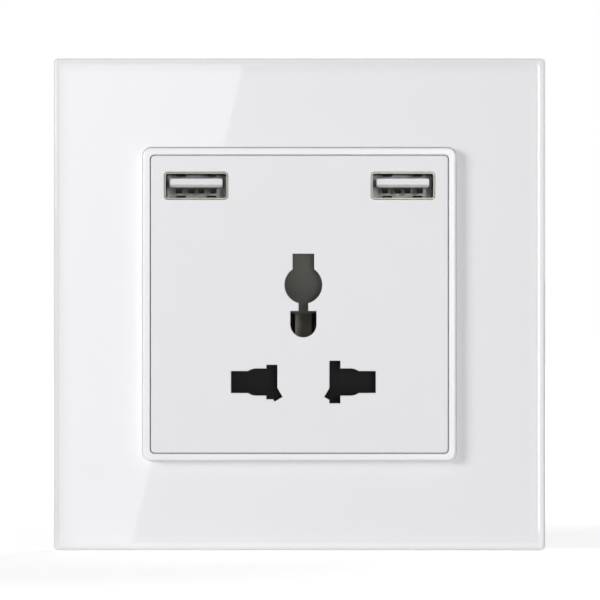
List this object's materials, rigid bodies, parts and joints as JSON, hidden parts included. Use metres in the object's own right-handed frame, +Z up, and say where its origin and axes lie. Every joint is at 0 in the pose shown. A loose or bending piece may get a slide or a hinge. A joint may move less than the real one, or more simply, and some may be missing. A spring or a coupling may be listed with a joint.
{
  "type": "usb wall socket",
  "caption": "flush wall socket with a square white glass panel, a raised face plate with universal pin holes, a sprung safety shutter and USB charging ports",
  "frame": {"origin": "on the wall plane, midway between the two fixing screws, at the panel's middle", "axes": "X to the right as seen from the room, Y into the wall, Z up; the front faces -Y"},
  "size_m": [0.1, 0.0362, 0.1],
  "materials": {
    "back_painted_glass": "polished toughened glass, white behind",
    "white_polycarbonate": "fine satin moulding",
    "white_inner_plastic": "matt moulding",
    "grey_nylon": "glass-filled, matt",
    "shutter_plastic": "matt moulding",
    "ramp_acetal": "matt moulding",
    "zinc_plated_steel": "zinc plated",
    "spring_steel": "bright drawn",
    "tinned_bronze": "tin plated",
    "brass": "machined",
    "nickel_plated_shell": "nickel plated",
    "white_tongue_plastic": "smooth moulding",
    "gilded_contacts": "dark plated",
    "board_laminate": "glass epoxy",
    "ferrite": "sintered",
    "yellow_tape": "polyester tape",
    "black_sleeve": "shrunk sleeve",
    "chip_epoxy": "moulded epoxy",
    "resistor_lacquer": "lacquer",
    "brown_insulation": "extruded",
    "blue_insulation": "extruded"
  },
  "bodies": {
    "base": {"inner_cover": "white_inner_plastic", "socket_housing": "grey_nylon", "rear_cover": "grey_nylon", "case_screws": "zinc_plated_steel", "mounting_yoke": "zinc_plated_steel", "yoke_screws": "zinc_plated_steel", "trim_clips": "spring_steel", "shutter_spring_left": "spring_steel", "shutter_spring_right": "spring_steel", "neutral_contact": "tinned_bronze", "live_contact": "tinned_bronze", "earth_contact": "tinned_bronze", "charger_board": "board_laminate", "board_screws": "zinc_plated_steel", "transformer_core": "ferrite", "transformer_winding": "yellow_tape", "input_capacitor": "black_sleeve", "output_capacitor": "black_sleeve", "choke": "ferrite", "controller_chip": "chip_epoxy", "rectifier": "chip_epoxy", "fuse_resistor": "resistor_lacquer", "neutral_lead": "blue_insulation", "live_lead": "brown_insulation", "neutral_terminal": "brass", "earth_terminal": "brass", "live_terminal": "brass", "usb_shell_left": "nickel_plated_shell", "usb_tongue_left": "white_tongue_plastic", "usb_contacts_left": "gilded_contacts", "usb_shell_right": "nickel_plated_shell", "usb_tongue_right": "white_tongue_plastic", "usb_contacts_right": "gilded_contacts"},
    "trim": {"glass_panel": "back_painted_glass", "panel_carrier": "white_polycarbonate", "face_plate": "white_polycarbonate"},
    "shutter": {"safety_shutter": "shutter_plastic", "earth_ramp": "ramp_acetal"},
    "neutral_pad": {"neutral_clamp_pad": "brass"},
    "neutral_screw": {"neutral_clamp_screw": "zinc_plated_steel"},
    "earth_pad": {"earth_clamp_pad": "brass"},
    "earth_screw": {"earth_clamp_screw": "zinc_plated_steel"},
    "live_pad": {"live_clamp_pad": "brass"},
    "live_screw": {"live_clamp_screw": "zinc_plated_steel"}
  },
  "joints": [
    {"name": "trim_pull", "type": "slide", "parent": "base", "child": "trim", "axis": [0, -1, 0], "range_m": [0, 0.016], "deforming": ["trim_clips"]},
    {"name": "shutter_slide", "type": "slide", "parent": "base", "child": "shutter", "axis": [0, 0, 1], "range_m": [0, 0.0128], "stiffness_N_per_m": 80, "springref_m": -0.006, "deforming": ["shutter_spring_left", "shutter_spring_right"]},
    {"name": "neutral_pad_press", "type": "slide", "parent": "base", "child": "neutral_pad", "axis": [0, -1, 0], "range_m": [0, 0.003]},
    {"name": "neutral_screw_turn", "type": "hinge", "parent": "neutral_pad", "child": "neutral_screw", "pos_m": [-0.0174, 0.0232, -0.0217], "axis": [0, -1, 0], "range_deg": [0, 2165]},
    {"name": "earth_pad_press", "type": "slide", "parent": "base", "child": "earth_pad", "axis": [0, -1, 0], "range_m": [0, 0.003]},
    {"name": "earth_screw_turn", "type": "hinge", "parent": "earth_pad", "child": "earth_screw", "pos_m": [0.0008, 0.0232, 0.001], "axis": [0, -1, 0], "range_deg": [0, 2165]},
    {"name": "live_pad_press", "type": "slide", "parent": "base", "child": "live_pad", "axis": [0, -1, 0], "range_m": [0, 0.003]},
    {"name": "live_screw_turn", "type": "hinge", "parent": "live_pad", "child": "live_screw", "pos_m": [0.019, 0.0232, -0.0217], "axis": [0, -1, 0], "range_deg": [0, 2165]}
  ],
  "couplings": [
    {"joint": "neutral_screw_turn", "follows": "neutral_pad_press", "rad_per_m": 12566},
    {"joint": "earth_screw_turn", "follows": "earth_pad_press", "rad_per_m": 12566},
    {"joint": "live_screw_turn", "follows": "live_pad_press", "rad_per_m": 12566}
  ]
}
